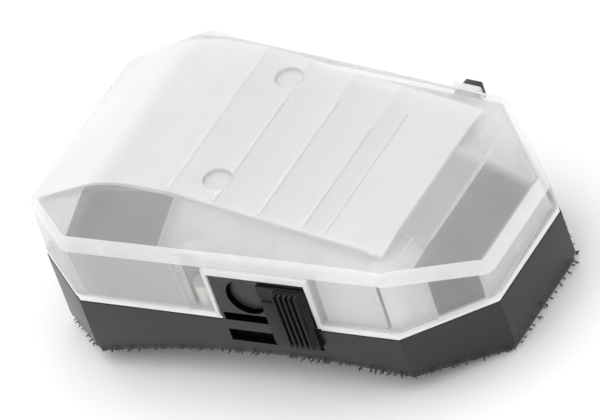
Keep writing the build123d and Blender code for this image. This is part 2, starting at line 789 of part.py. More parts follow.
# ================================================================ battery
cell_plane = Plane(
    origin=deck.from_local_coords((battery_x, battery_length / 2, battery_axis_rise)),
    x_dir=deck.x_dir,
    z_dir=(0, -1, 0),
)
with BuildPart() as battery_cell:
    with BuildSketch(cell_plane):
        Circle(battery_radius)
    extrude(amount=battery_length)
    fillet(battery_cell.edges(), 0.7)
    with BuildSketch(cell_plane):
        Circle(2.6)
    extrude(amount=-0.6)
battery_cell.part.label = "battery_cell"
export_step(battery_cell.part, "parts/battery_cell.step")

cradle_back = battery_length / 2 + 1.2
cradle_front = battery_length / 2 + 2.2
with BuildPart() as battery_cradle:
    with BuildSketch(deck.offset(-tall)):
        with Locations((battery_x, (cradle_back - cradle_front) / 2)):
            Rectangle(2 * battery_radius + 2 * cradle_wall, cradle_back + cradle_front + 2 * cradle_wall)
    extrude(amount=tall + battery_axis_rise - 1)
    for edge_y in (cradle_back + cradle_wall / 2, -cradle_front - cradle_wall / 2):
        with BuildSketch(deck.offset(battery_axis_rise - 1)):
            with Locations((battery_x, edge_y)):
                Rectangle(2 * battery_radius - 3, cradle_wall)
        extrude(amount=battery_radius - 1)
    with BuildSketch(deck.offset(-tall)):
        Polygon(*outline(tray_wall + fit_gap), align=None)
    extrude(amount=2 * tall, mode=Mode.INTERSECT)
    add(floor_arch.part, mode=Mode.SUBTRACT)
    with BuildSketch(cell_plane.offset(battery_length / 2 - cradle_back)):
        Circle(battery_radius + fit_gap)
    extrude(amount=cradle_back + cradle_front, mode=Mode.SUBTRACT)
battery_cradle.part.label = "battery_cradle"
export_step(battery_cradle.part, "parts/battery_cradle.step")

contact_width = 6.0
contact_rise = battery_radius - contact_drop
with BuildPart() as positive_contact:
    with BuildSketch(cell_plane.offset(-0.6)):
        with Locations((0, 1.2)):
            Rectangle(contact_width, 2 * contact_rise - 2.4)
    extrude(amount=0.6 - cradle_back + battery_length / 2)
positive_contact.part.label = "positive_contact"
export_step(positive_contact.part, "parts/positive_contact.step")

# a bent leaf between the cradle's front wall and the cell
cell_end = -battery_length / 2
leaf = contact_thickness
with BuildPart() as negative_spring:
    with BuildSketch(across(battery_x - contact_width / 2)):
        Polygon(
            (-cradle_front, -2.4),
            (-cradle_front, battery_axis_rise + contact_rise),
            (-cradle_front + leaf, battery_axis_rise + contact_rise),
            (-cradle_front + leaf, -1.4),
            (cell_end - leaf, battery_axis_rise - 0.4),
            (cell_end - leaf, battery_axis_rise + 0.4),
            (cell_end - 3 * leaf, battery_axis_rise + 4.4),
            (cell_end - 2 * leaf, battery_axis_rise + 4.6),
            (cell_end, battery_axis_rise + 0.5),
            (cell_end, battery_axis_rise - 0.5),
            (-cradle_front + 2 * leaf, -2.4),
            align=None,
        )
    extrude(amount=contact_width)
negative_spring.part.label = "negative_spring"
export_step(negative_spring.part, "parts/negative_spring.step")

# two short leads from the contacts' tails down to the board
tail_rise = battery_axis_rise + contact_rise - 0.6
tails = {
    "positive_lead": cradle_back - 0.3,
    "negative_lead": -cradle_front + leaf / 2,
}
for name, tail_y in tails.items():
    pad_y = lead_pad[1] if tail_y > 0 else -lead_pad[1]
    points = [
        (battery_x + contact_width / 2, tail_y, tail_rise),
        (battery_x + contact_width / 2 + 6.5, tail_y, tail_rise),
        (lead_pad[0], pad_y, board_top + 5.5),
        (lead_pad[0], pad_y, board_top),
    ]
    with BuildPart() as lead:
        with BuildLine(deck):
            route = FilletPolyline(*points, radius=[2.6, 2.2])
        with BuildSketch(Plane(origin=route @ 0, z_dir=route % 0)):
            Circle(lead_radius)
        sweep()
    lead.part.label = name
    export_step(lead.part, f"parts/{name}.step")
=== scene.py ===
"""Helmet marker light: the look of its cover, tray, hook pad, controls and inner works.

Everything drawn here is drawn on the deck, the leaning plane between cover and tray, in
millimetres: x along the light to its low end, y to the back, z up from the seam. Pieces on the
front panel are drawn on the panel: x along it, y up from the seam, z outwards.
"""
import json
import math
import random

import bmesh
import bpy
import numpy as np
from bpy.props import FloatProperty, FloatVectorProperty, PointerProperty
from mathutils import Matrix, Vector

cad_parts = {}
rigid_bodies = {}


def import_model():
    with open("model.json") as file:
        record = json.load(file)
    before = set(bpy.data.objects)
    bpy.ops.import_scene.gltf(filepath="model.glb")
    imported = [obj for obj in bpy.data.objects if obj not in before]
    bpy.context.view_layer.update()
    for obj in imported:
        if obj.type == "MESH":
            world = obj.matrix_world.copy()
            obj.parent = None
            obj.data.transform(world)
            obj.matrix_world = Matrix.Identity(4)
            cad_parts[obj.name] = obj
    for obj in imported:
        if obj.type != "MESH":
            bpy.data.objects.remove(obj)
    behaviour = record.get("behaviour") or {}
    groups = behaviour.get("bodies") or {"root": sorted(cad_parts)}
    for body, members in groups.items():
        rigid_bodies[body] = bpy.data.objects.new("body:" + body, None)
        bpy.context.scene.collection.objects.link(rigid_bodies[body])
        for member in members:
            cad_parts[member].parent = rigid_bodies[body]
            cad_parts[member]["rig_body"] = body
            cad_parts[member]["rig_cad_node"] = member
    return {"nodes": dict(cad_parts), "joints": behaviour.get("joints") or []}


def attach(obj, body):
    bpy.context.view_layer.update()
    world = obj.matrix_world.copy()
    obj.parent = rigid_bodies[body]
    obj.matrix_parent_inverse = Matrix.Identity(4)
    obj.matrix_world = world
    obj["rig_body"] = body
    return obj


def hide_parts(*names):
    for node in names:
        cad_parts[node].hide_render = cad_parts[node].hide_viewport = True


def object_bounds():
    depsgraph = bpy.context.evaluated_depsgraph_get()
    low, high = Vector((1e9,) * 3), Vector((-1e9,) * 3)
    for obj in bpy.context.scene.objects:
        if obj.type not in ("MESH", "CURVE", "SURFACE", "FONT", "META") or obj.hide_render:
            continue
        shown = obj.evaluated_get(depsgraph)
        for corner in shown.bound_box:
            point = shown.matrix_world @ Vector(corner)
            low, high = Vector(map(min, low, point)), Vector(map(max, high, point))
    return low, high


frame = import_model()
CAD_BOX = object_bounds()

bl_info = {
    "name": "Helmet marker light",
    "version": (1, 0, 0),
    "blender": (4, 5, 0),
    "location": "View3D > Sidebar > Marker light",
    "description": "Builds the cover, tray, hook pad, controls and inner works of a helmet marker light",
    "category": "Add Mesh",
}

# ---------------------------------------------------------------- the deck, from the slider's joint
SLIDE = next(joint for joint in frame["joints"] if joint["name"] == "slider_slide")
TRAVEL = Vector(SLIDE["axis"])
TILT = math.atan2(TRAVEL.z, -TRAVEL.x)
LEAN = math.asin(-TRAVEL.y)
MM = 0.001

LENGTH = 84.0
TRAY_DEPTH = (13.3, 9.1)          # at the high end and at the low end
END_HALF = (17.3, 10.7)
CORNER_X = (-30.3, 29.4)
CORNER_HALF = (26.3, 22.8)
WALL_RISE = (12.3, 13.0, 7.6)     # high end, low corner, low end
WALL_DRAFT = 0.04
FOOT = 0.8                        # the cover's foot above the seam
PAD = 1.6
ARCH_RISE = 5.3
PAD_INSET = 0.5
CREST = 20.4
# place along the deck, half-width of the roof's top, height of the roof's top
# the lines across the roof at both ends, both corners, the crest and the low end's ridges
ROOF = (
    (-42.0, 16.79, 12.32), (-30.3, 18.6, 17.57), (-24.0, 19.4, CREST), (-11.0, 17.8, CREST),
    (24.0, 17.0, 14.5), (27.7, 11.8, 13.9), (29.4, 11.4, 13.26), (32.5, 10.8, 12.1), (42.0, 10.38, 7.62),
)
PANEL_X = 5.8
REAR_X = 21.0
SLOPE = (3, 4)                    # the lines in ROOF at both ends of the long slope
SLOPE_STEPS = 6
RIDGES = (27.7, 32.5)
CREST_X = -24.0
POSTS = tuple((x, side * y) for x, y in ((-7.2, 21.6), (27.2, 18.4)) for side in (-1, 1))
POST_RADIUS = 2.35
POST_TOP = 12.0
GUSSET_HALF = 0.4
INSERT_HOLE = (1.75, 5.2)         # radius and top
DIMPLE_AT = (-4.9, 12.3)          # along the roof, and to both sides
WINDOW = (9.1, 10.2)              # half-width and top, on the panel
WINDOW_FRAME = (9.9, 11.3)
WINDOW_SILL = (10.1, 11.4)
KEYHOLE = (1.7, 8.7, 11.9)        # the rear button's hole: half-width, foot and top, on the back wall
COLLAR = (2.6, 7.9, 12.5)
POCKETS = (9.0, -4.6, 10.2)       # the panel's slots and bore: half-width, foot and top
BELOW = -3.0                      # well under the cover's foot

RIB_START = -16.9
# ribs across the roof: place along the deck, back end, share of the full width
ROOF_RIBS = (
    (-11.6, 14.5, 1.0), (-3.4, 8.5, 0.9), (4.8, 10.5, 0.9), (12.7, 7.0, 0.8), (16.8, 12.0, 0.4),
)

DECK = (
    Matrix.Translation((
        (TRAY_DEPTH[0] - WALL_RISE[2]) * math.sin(TILT) / 2 * MM,
        0,
        (PAD + sum(TRAY_DEPTH) / 2 * math.cos(TILT)) * MM,
    ))
    @ Matrix.Rotation(TILT, 4, "Y")
    @ Matrix.Scale(MM, 4)
)


def between(x, x0, x1, y0, y1):
    """The value at x on the straight line from (x0, y0) to (x1, y1)."""
    return y0 + (y1 - y0) * (x - x0) / (x1 - x0)


def seam_half(x):
    """Half the width of the light at the seam."""
    if x < CORNER_X[0]:
        return between(x, -LENGTH / 2, CORNER_X[0], END_HALF[0], CORNER_HALF[0])
    if x > CORNER_X[1]:
        return between(x, CORNER_X[1], LENGTH / 2, CORNER_HALF[1], END_HALF[1])
    return between(x, *CORNER_X, *CORNER_HALF)


def wall_rise(x):
    """Height of the edge where the cover's wall meets its roof."""
    if x > CORNER_X[1]:
        return between(x, CORNER_X[1], LENGTH / 2, WALL_RISE[1], WALL_RISE[2])
    return between(x, -LENGTH / 2, CORNER_X[1], WALL_RISE[0], WALL_RISE[1])


def roof_rise(x):
    """Height of the roof's top."""
    for (x0, _, z0), (x1, _, z1) in zip(ROOF, ROOF[1:]):
        if x0 <= x <= x1:
            return between(x, x0, x1, z0, z1)
    raise ValueError(f"{x} isn't on the light")


def roof_lines():
    """The roof's table with extra lines on its long slope, because the facets beside it are twisted."""
    start, end = (ROOF[place] for place in SLOPE)
    extra = [
        tuple(between(step, 0, SLOPE_STEPS, a, b) for a, b in zip(start, end))
        for step in range(1, SLOPE_STEPS)
    ]
    return [*ROOF[:SLOPE[1]], *extra, *ROOF[SLOPE[1]:]]


def wall_matrix(x, side):
    """The wall's own frame at x: x along the wall, y up, z outwards; side is -1 at the front."""
    turn = Matrix.Rotation(LEAN, 4, "Z") if side < 0 else Matrix.Rotation(math.pi - LEAN, 4, "Z")
    spot = Matrix.Translation((x, side * seam_half(x), 0))
    return DECK @ spot @ turn @ Matrix.Rotation(math.pi / 2, 4, "X")


FRONT = wall_matrix(PANEL_X, -1)
REAR = wall_matrix(REAR_X, 1)


# ---------------------------------------------------------------- settings
class SHELL_PG_sizes(bpy.types.PropertyGroup):
    """Sizes in millimetres, and colours, of the clear cover"""

    wall: FloatProperty(name="Cover wall", description="Thickness of the cover", default=1.6)
    edge: FloatProperty(
        name="Edge", description="Width of the soft edge where wall meets roof", default=1.5
    )
    crest: FloatProperty(name="Crest", description="Width of the rolled crest", default=4.6)
    rib: FloatProperty(name="Roof rib", description="Width of a rib across the roof", default=0.85)
    dimple: FloatProperty(name="Dimple", description="Radius of the two round dimples", default=2.5)
    milk: FloatProperty(
        name="Milkiness", description="How much the roof hides", default=0.74, subtype="FACTOR"
    )
    clear: FloatProperty(
        name="Clearness", description="How much the walls hide", default=0.27, subtype="FACTOR"
    )
    # painted shade: how dark the cover is painted over its empty ends
    end_shade_tone: FloatProperty(
        name="Grey", description="Tone over the empty ends", default=0.25, subtype="FACTOR"
    )
    colour: FloatVectorProperty(
        name="Cover colour", description="Colour of the frosted plastic",
        default=(0.84, 0.845, 0.85), subtype="COLOR",
    )


class SHELL_PG_dark(bpy.types.PropertyGroup):
    """Colours of the dark tray and slider, and sizes in millimetres of the hooks"""

    colour: FloatVectorProperty(
        name="Tray colour", description="Colour of the tray's plastic",
        default=(0.018, 0.018, 0.019), subtype="COLOR",
    )
    gloss: FloatVectorProperty(
        name="Slider colour", description="Colour of the slider's plastic",
        default=(0.006, 0.006, 0.006), subtype="COLOR",
    )
    pitch: FloatProperty(name="Hook pitch", description="Distance between hooks", default=1.5)
    hook: FloatProperty(name="Hook height", description="Height of one hook", default=1.15)


# ---------------------------------------------------------------- shader maths
class Value:
    """A socket of a material, with Python's own signs for sums and products."""

    def __init__(self, tree, socket):
        self.tree = tree
        self.socket = socket

    def maths(self, operation, *others):
        """A Math node on this value and the others."""
        node = self.tree.nodes.new("ShaderNodeMath")
        node.operation = operation
        for place, value in enumerate((self, *others)):
            if isinstance(value, Value):
                self.tree.links.new(value.socket, node.inputs[place])
            else:
                node.inputs[place].default_value = value
        return Value(self.tree, node.outputs[0])

    def __add__(self, other):
        return self.maths("ADD", other)

    def __sub__(self, other):
        return self.maths("SUBTRACT", other)

    def __rsub__(self, other):
        return self.maths("MULTIPLY", -1.0).maths("ADD", other)

    def __mul__(self, other):
        return self.maths("MULTIPLY", other)

    __radd__ = __add__
    __rmul__ = __mul__

    def clamp(self):
        return self.maths("MAXIMUM", 0.0).maths("MINIMUM", 1.0)

    def step(self, start, end):
        """0 below start, 1 above end, and smooth between them."""
        node = self.tree.nodes.new("ShaderNodeMapRange")
        node.interpolation_type = "SMOOTHSTEP"
        self.tree.links.new(self.socket, node.inputs[0])
        node.inputs[1].default_value = start
        node.inputs[2].default_value = end
        return Value(self.tree, node.outputs[0])


class Finish:
    """One procedural material around a Principled shader."""

    def __init__(self, name, colour, roughness, **constants):
        self.material = bpy.data.materials.new(name)
        self.material.use_nodes = True
        self.tree = self.material.node_tree
        self.shader = self.tree.nodes["Principled BSDF"]
        self.set(Base_Color=(*colour, 1.0), Roughness=roughness, **constants)
        self.place = self.node("ShaderNodeTexCoord").outputs["Object"]

    def set(self, **values):
        """Sets or links the shader's sockets, named with _ for a space."""
        for name, value in values.items():
            socket = self.shader.inputs[name.replace("_", " ")]
            if isinstance(value, Value):
                self.tree.links.new(value.socket, socket)
            else:
                socket.default_value = value

    def node(self, kind, settings=None, **values):
        """A node of that type. Its sockets are set by name, or by number as i0, i1 and so on."""
        made = self.tree.nodes.new(kind)
        for name, value in (settings or {}).items():
            setattr(made, name, value)
        for name, value in values.items():
            by_number = name[0] == "i" and name[1:].isdigit()
            socket = made.inputs[int(name[1:]) if by_number else name]
            if isinstance(value, Value):
                self.tree.links.new(value.socket, socket)
            elif isinstance(value, bpy.types.NodeSocket):
                self.tree.links.new(value, socket)
            else:
                socket.default_value = value
        return made

    def deck_place(self):
        """Place on the deck in millimetres, as three values."""
        mapping = self.node(
            "ShaderNodeMapping", {"vector_type": "TEXTURE"},
            Vector=self.place, Location=DECK.to_translation(), Rotation=DECK.to_euler(), Scale=(MM, MM, MM),
        )
        split = self.node("ShaderNodeSeparateXYZ", Vector=mapping.outputs[0])
        return [Value(self.tree, split.outputs[axis]) for axis in range(3)]

    def noise(self, scale, detail=2.0, stretch=(1, 1, 1), distortion=0.0):
        """Noise from 0 to 1, in features of about 1 / scale metres."""
        mapping = self.node("ShaderNodeMapping", Vector=self.place, Scale=stretch)
        made = self.node(
            "ShaderNodeTexNoise", Vector=mapping.outputs[0], Scale=scale, Detail=detail, Distortion=distortion
        )
        return Value(self.tree, made.outputs["Fac"])

    def tint(self, share, first, second):
        """A colour between two colours, by a share from 0 to 1."""
        first, second = (c if isinstance(c, Value) else (*c, 1) for c in (first, second))
        made = self.node("ShaderNodeMix", {"data_type": "RGBA"}, i0=share, i6=first, i7=second)
        return Value(self.tree, made.outputs[2])

    def bump(self, height, depth, strength=1.0):
        """Relief of that depth in metres."""
        made = self.node("ShaderNodeBump", Strength=strength, Distance=depth, Height=height)
        return Value(self.tree, made.outputs[0])


def darker(colour, share):
    """The colour times a share."""
    return tuple(part * share for part in colour)


def moulded(name, colour, roughness=0.45, grain=9000.0, depth=0.00002, patch=0.12, shine=0.5):
    """Moulded plastic: fine grain, a slightly uneven sheen and faint flow patches."""
    finish = Finish(name, colour, roughness, Specular_IOR_Level=shine)
    flow = finish.noise(140.0, 3.0, distortion=0.6)
    rubbed = finish.noise(900.0, 4.0).step(0.62, 0.8)
    worn = (flow * 0.8 + rubbed * 0.5).clamp()
    finish.set(
        Base_Color=finish.tint(worn, darker(colour, 1 - patch), darker(colour, 1 + patch)),
        Roughness=flow * 0.12 + rubbed * 0.08 + (roughness - 0.08),
        Normal=finish.bump(finish.noise(grain, 2.0), depth),
    )
    return finish.material


def frosted(name, colour, hide, roughness=0.32, depth=0.00002):
    """Frosted clear plastic that hides a set share of what is behind it."""
    finish = Finish(name, colour, roughness, Coat_Weight=0.3, Coat_Roughness=0.12)
    cloud = finish.noise(110.0, 3.0, distortion=0.5)
    speck = finish.noise(2600.0, 2.0)
    finish.set(
        Base_Color=finish.tint(cloud, darker(colour, 0.95), colour),
        Roughness=cloud * 0.16 + (roughness - 0.08),
        Alpha=(cloud * 0.16 + speck * 0.06 + (hide - 0.11)).clamp(),
        Normal=finish.bump(speck, depth),
    )
    return finish.material


def liner_finish():
    """The liner: frosted, with a band of painted shade beside its middle panel."""
    finish = Finish("liner_frosted", (0.93, 0.93, 0.935), 0.32, Coat_Weight=0.3, Coat_Roughness=0.12)
    along, _, up = finish.deck_place()
    # painted shade: a dark, more opaque band beside the middle panel
    groove_shade = within(along, 15.4, 16.8, 0.3) * up.step(6.0, 7.0)
    cloud = finish.noise(110.0, 3.0, distortion=0.5)
    speck = finish.noise(2600.0, 2.0)
    shade = (groove_shade * 0.8 + cloud * 0.2).clamp()
    finish.set(
        Base_Color=finish.tint(shade, (0.74, 0.74, 0.745), (0.25, 0.25, 0.255)),
        Roughness=cloud * 0.16 + 0.24,
        Alpha=(groove_shade * 0.3 + cloud * 0.14 + speck * 0.06 + 0.3).clamp(),
        Normal=finish.bump(speck, 0.00002),
    )
    return finish.material


def metal(name, colour, roughness=0.3, stretch=(1, 1, 1), depth=0.00001):
    """Plated or turned metal with drawn lines and a few dull spots."""
    finish = Finish(name, colour, roughness, Metallic=1.0)
    lines = finish.noise(5000.0, 2.0, stretch)
    dull = finish.noise(600.0, 3.0).step(0.5, 0.75)
    finish.set(
        Base_Color=finish.tint(dull, colour, darker(colour, 0.75)),
        Roughness=lines * 0.15 + dull * 0.15 + (roughness - 0.1),
        Normal=finish.bump(lines, depth),
    )
    return finish.material


def rubber(name, colour, roughness=0.55):
    """Rubber: fine matt skin with a faint bloom."""
    finish = Finish(name, colour, roughness, Sheen_Weight=0.1)
    bloom = finish.noise(400.0, 4.0).step(0.45, 0.8)
    finish.set(
        Base_Color=finish.tint(bloom, colour, tuple(part * 1.15 + 0.003 for part in colour)),
        Roughness=bloom * 0.12 + (roughness - 0.05),
        Normal=finish.bump(finish.noise(7000.0, 2.0), 0.00001),
    )
    return finish.material


def wall_edge(along):
    """Height of the edge where wall meets roof, as wall_rise gives it."""
    gentle = (WALL_RISE[1] - WALL_RISE[0]) / (CORNER_X[1] + LENGTH / 2)
    steep = (WALL_RISE[2] - WALL_RISE[1]) / (LENGTH / 2 - CORNER_X[1])
    past_corner = (along - CORNER_X[1]).maths("MAXIMUM", 0.0)
    return along * gentle + (WALL_RISE[1] - gentle * CORNER_X[1]) + past_corner * (steep - gentle)


def within(value, low, high, fade):
    """1 between low and high, fading to 0 over that distance outside them."""
    return value.step(low - fade, low) * (1.0 - value.step(high, high + fade))


def painted_end_shade(along, across, up, facing):
    """Painted shade where the cover looks into its empty ends, from 0 to 1, in the outline of what can be
    seen there.
    """
    over_edge = up - wall_edge(along)
    upright = 1.0 - facing.step(0.2, 0.4)
    flat = facing.step(0.72, 0.8)
    beside_roof = (1.0 - across.step(-18.3, -17.7)) * over_edge.step(0.4, 0.8)
    wall = upright * up.step(1.2, 2.4)
    high_low = within(along + over_edge * 0.12, -29.4, -10.4, 0.5) * 0.48
    high_up = within(along - over_edge * 0.35, -29.6, -12.6, 0.6) * 0.78
    low_wall = within(along, 34.8, 40.4, 0.4) * 0.95
    gentle = within(along, 27.9, 32.35, 0.2) * 0.45
    steep = within(along, 32.75, 40.3, 0.2) * 0.8
    front_part = 1.0 - across.step(6.0, 10.6)
    on_top = across.step(-12.2, -11.6)
    facets = flat * front_part * (gentle * on_top + steep)
    return wall * (high_low + low_wall) + beside_roof * high_up + facets


def cover_finish(name, sizes, hides, roughness):
    """The cover: milky on the roof, bright at its foot, with painted shade over the two empty ends, at the
    high end and between ribs.
    """
    colour = tuple(sizes.colour)
    finish = Finish(name, colour, roughness, Coat_Weight=0.5, Coat_Roughness=0.06, IOR=1.49)
    along, across, up = finish.deck_place()
    normal = finish.node("ShaderNodeTexCoord").outputs["Normal"]
    upward = finish.node("ShaderNodeSeparateXYZ", Vector=normal).outputs[2]
    facing = Value(finish.tree, upward).maths("ABSOLUTE")
    on_roof_top = 1.0 - across.maths("ABSOLUTE").step(17.2, 18.0)
    roof = facing.step(0.72, 0.86) * (1.0 - along.step(27.2, 27.9)) * on_roof_top
    foot = 1.0 - up.step(1.2, 2.0)
    # painted shade: the high end is painted a little darker, and hides more
    high_end = 1.0 - along.step(-30.0, -22.0)
    # painted shade: the cover is painted greyer, and hides more, where it looks into its empty ends
    empty = painted_end_shade(along, across, up, facing)
    cloud = finish.noise(70.0, 3.0, distortion=0.8)
    drift = finish.noise(260.0, 2.0, (1.0, 0.35, 1.0))
    speck = finish.noise(2400.0, 2.0)
    # painted shade: the tone falls off from each rib to the next
    first_rib, pitch = ROOF_RIBS[0][0], 8.2
    saw = (along - first_rib).maths("WRAP", pitch, 0.0) * (1 / pitch)
    rib_shade_zone = roof * along.step(first_rib - 0.8, first_rib) * (1.0 - along.step(13.0, 20.0))
    shade = (cloud * 0.1 + rib_shade_zone * (1.0 - saw) * 0.1 + high_end * 0.1 + empty).clamp()
    lit = finish.tint(foot, colour, (0.97, 0.97, 0.97))
    hide = roof * (sizes.milk - sizes.clear) + foot * 0.4 + empty.step(0.0, 0.3) * (hides * 1.4)
    hide = hide + high_end * 0.25 + cloud * 0.1 + drift * 0.05 + (hides - 0.07)
    finish.set(
        Base_Color=finish.tint(shade, lit, darker(colour, sizes.end_shade_tone)),
        Roughness=cloud * 0.16 + roof * 0.14 + (roughness - 0.08),
        Alpha=hide.clamp(),
        Normal=finish.bump(speck * 0.6 + drift * 0.2, 0.00003),
    )
    return finish.material


MASK = (0.012, 0.11, 0.05)
TRACE = (0.03, 0.24, 0.11)


def board_finish():
    """Green board: mask over faint traces that run two ways."""
    finish = Finish("board_laminate", (0.02, 0.16, 0.07), 0.35, Coat_Weight=0.3)
    along, across, _ = finish.deck_place()
    traces = (along * 0.8 + across * 0.3).maths("PINGPONG", 0.9).step(0.62, 0.7)
    across_traces = (across * 0.9 - along * 0.15).maths("PINGPONG", 1.4).step(1.1, 1.2)
    lines = traces.maths("MAXIMUM", across_traces)
    finish.set(
        Base_Color=finish.tint(lines * 0.8 + finish.noise(500.0) * 0.2, MASK, TRACE),
        Roughness=0.42 - lines * 0.1,
        Normal=finish.bump(lines, 0.00003),
    )
    return finish.material


def cell_finish():
    """Shrink wrap on the cell: a plain wrap with a paler band and fine wrinkles."""
    finish = Finish("cell_wrap", (0.16, 0.2, 0.26), 0.3, Coat_Weight=0.4)
    _, across, _ = finish.deck_place()
    band = across.step(9.0, 9.3) * (1.0 - across.step(12.6, 12.9))
    wrinkle = finish.noise(900.0, 3.0, (1.0, 0.2, 1.0))
    finish.set(
        Base_Color=finish.tint(band, (0.2, 0.24, 0.3), (0.62, 0.64, 0.66)),
        Roughness=wrinkle * 0.2 + 0.2,
        Normal=finish.bump(wrinkle, 0.00003),
    )
    return finish.material


def fabric_finish():
    """The pad's woven backing."""
    finish = Finish("hook_backing", (0.02, 0.02, 0.021), 0.8, Sheen_Weight=0.3)
    along, across, _ = finish.deck_place()
    warp = along.maths("PINGPONG", 0.3) * (1 / 0.3)
    weft = across.maths("PINGPONG", 0.3) * (1 / 0.3)
    weave = warp.maths("MAXIMUM", weft)
    finish.set(
        Base_Color=finish.tint(weave, (0.01, 0.01, 0.011), (0.035, 0.035, 0.037)),
        Roughness=weave * 0.1 + 0.7,
        Normal=finish.bump(weave, 0.00008),
    )
    return finish.material


def make_materials():
    """All finishes, by the name of the record's slot."""
    shell = bpy.context.scene.marker_shell
    dark = bpy.context.scene.marker_dark
    return {
        "clear_plastic": cover_finish("cover_frosted", shell, shell.clear, 0.22),
        # painted highlight: a whiter, more opaque copy of the plastic for soft edges, frames, ribs and cut
        # rims
        "bright_edge": frosted("cover_bright_edge", (0.93, 0.93, 0.93), 0.66, 0.25),
        # a softer painted highlight, for the low end's ridge
        "soft_edge": frosted("cover_soft_edge", (0.8, 0.8, 0.8), 0.45, 0.3),
        "inner_face": cover_finish("cover_inner_face", shell, 0.08, 0.4),
        # painted shade: a dark, nearly opaque finish for the dimples' walls and the light guide's rims
        "dimple_rim": frosted("dimple_rim", (0.16, 0.16, 0.165), 0.85, 0.2),
        # painted light: a whiter, more opaque copy of the plastic so the shaded posts look lit
        "post": frosted("cover_post", (0.97, 0.97, 0.97), 0.9, 0.25),
        "frosted_plastic": liner_finish(),
        "guide_plastic": frosted("guide_clear", (0.93, 0.93, 0.93), 0.6, 0.12),
        "gasket_rubber": frosted("gasket_silicone", (0.96, 0.96, 0.96), 0.95, 0.4),
        "tray_plastic": moulded("tray_plastic", tuple(dark.colour), 0.36),
        # painted shade: near-black finish for the recesses of the front panel's slots and bore
        "pocket_black": moulded("pocket_black", (0.002, 0.002, 0.002), 0.7, shine=0.03),
        "slider_plastic": moulded("slider_plastic", tuple(dark.gloss), 0.28, 6000.0, 0.00001, shine=0.22),
        "housing_black": moulded("housing_black", (0.02, 0.02, 0.021), 0.5),
        "component_black": moulded("component_black", (0.03, 0.03, 0.032), 0.4),
        "reflector_white": moulded("reflector_white", (0.86, 0.86, 0.86), 0.25, patch=0.04),
        "led_package": moulded("led_package", (0.8, 0.76, 0.55), 0.35, patch=0.06),
        "infrared_lens": moulded("infrared_lens", (0.05, 0.015, 0.03), 0.12, patch=0.2),
        "ceramic_tan": moulded("ceramic_tan", (0.42, 0.31, 0.2), 0.45),
        "button_rubber": rubber("button_rubber", (0.012, 0.012, 0.012), 0.42),
        "lead_red": rubber("lead_red", (0.45, 0.03, 0.025)),
        "lead_black": rubber("lead_black", (0.02, 0.02, 0.02)),
        "screw_steel": metal("screw_steel", (0.32, 0.32, 0.33), 0.35),
        "insert_brass": metal("insert_brass", (0.75, 0.57, 0.25), 0.3),
        "switch_metal": metal("switch_metal", (0.62, 0.62, 0.63), 0.3),
        "contact_nickel": metal("contact_nickel", (0.72, 0.7, 0.66), 0.25, (1, 6, 1)),
        "board_laminate": board_finish(),
        "cell_wrap": cell_finish(),
        "hook_fabric": fabric_finish(),
    }


MATERIALS = {}


# ---------------------------------------------------------------- modelling helpers
def only(*pieces):
    """Selects these objects and nothing else; the last one is active."""
    bpy.ops.object.select_all(action="DESELECT")
    for piece in pieces:
        piece.select_set(True)
    bpy.context.view_layer.objects.active = pieces[-1]
    return pieces[-1]


def add(kind, name, **options):
    """A mesh primitive with nothing else selected."""
    bpy.ops.object.select_all(action="DESELECT")
    getattr(bpy.ops.mesh, f"primitive_{kind}_add")(**options)
    piece = bpy.context.object
    piece.name = name
    return piece


def block(name, low, high):
    """A block between two corners."""
    low, high = Vector(low), Vector(high)
    piece = add("cube", name, size=1.0, location=(low + high) / 2)
    piece.scale = high - low
    bpy.ops.object.transform_apply(location=True, rotation=True, scale=True)
    return piece


def drum(name, radius, low, high, centre=(0, 0), vertices=48):
    """An upright cylinder."""
    piece = add(
        "cylinder", name, radius=radius, depth=high - low, vertices=vertices,
        location=(*centre, (low + high) / 2),
    )
    bpy.ops.object.transform_apply(location=True, rotation=True, scale=True)
    return piece


def pick(piece, kind, rule):
    """In edit mode, selects the vertices, edges or faces that the rule allows, and no others."""
    bpy.ops.mesh.select_mode(type={"verts": "VERT", "edges": "EDGE", "faces": "FACE"}[kind])
    bpy.ops.mesh.select_all(action="DESELECT")
    mesh = bmesh.from_edit_mesh(piece.data)
    count = 0
    for item in getattr(mesh, kind):
        if rule(item):
            item.select_set(True)
            count += 1
    mesh.select_flush_mode()
    bmesh.update_edit_mesh(piece.data)
    return count


def edit(piece):
    """Opens the piece alone in edit mode."""
    only(piece)
    bpy.ops.object.mode_set(mode="EDIT")


def done():
    """Leaves edit mode."""
    bpy.ops.object.mode_set(mode="OBJECT")


def modify(piece, kind, **settings):
    """Adds a modifier and applies it."""
    only(piece)
    modifier = piece.modifiers.new(kind.title(), kind)
    for name, value in settings.items():
        setattr(modifier, name, value)
    bpy.ops.object.modifier_apply(modifier=modifier.name)
    return piece


def combine(piece, other, operation):
    """A boolean with another piece, which is then removed."""
    bpy.context.view_layer.update()
    modify(piece, "BOOLEAN", object=other, operation=operation, solver="EXACT", use_hole_tolerant=True)
    bpy.data.objects.remove(other)
    return piece


def soften(piece, width, segments=2, angle=30.0, material=-1):
    """Rounds the sharp edges, then shades the piece smooth between what is left."""
    modify(
        piece, "BEVEL", width=width, segments=segments, limit_method="ANGLE", material=material,
        angle_limit=math.radians(angle), use_clamp_overlap=True, miter_outer="MITER_ARC",
    )
    return smooth(piece)


def smooth(piece, angle=35.0):
    """Shades the piece smooth across edges that turn less than that angle."""
    only(piece)
    bpy.ops.object.shade_smooth_by_angle(angle=math.radians(angle))
    return piece


def join(name, pieces):
    """Joins the pieces into one."""
    only(*pieces)
    bpy.ops.object.join()
    piece = bpy.context.object
    piece.name = name
    return piece


def copy_of(piece, name):
    """A copy with its own mesh."""
    twin = piece.copy()
    twin.data = piece.data.copy()
    twin.name = name
    bpy.context.scene.collection.objects.link(twin)
    return twin


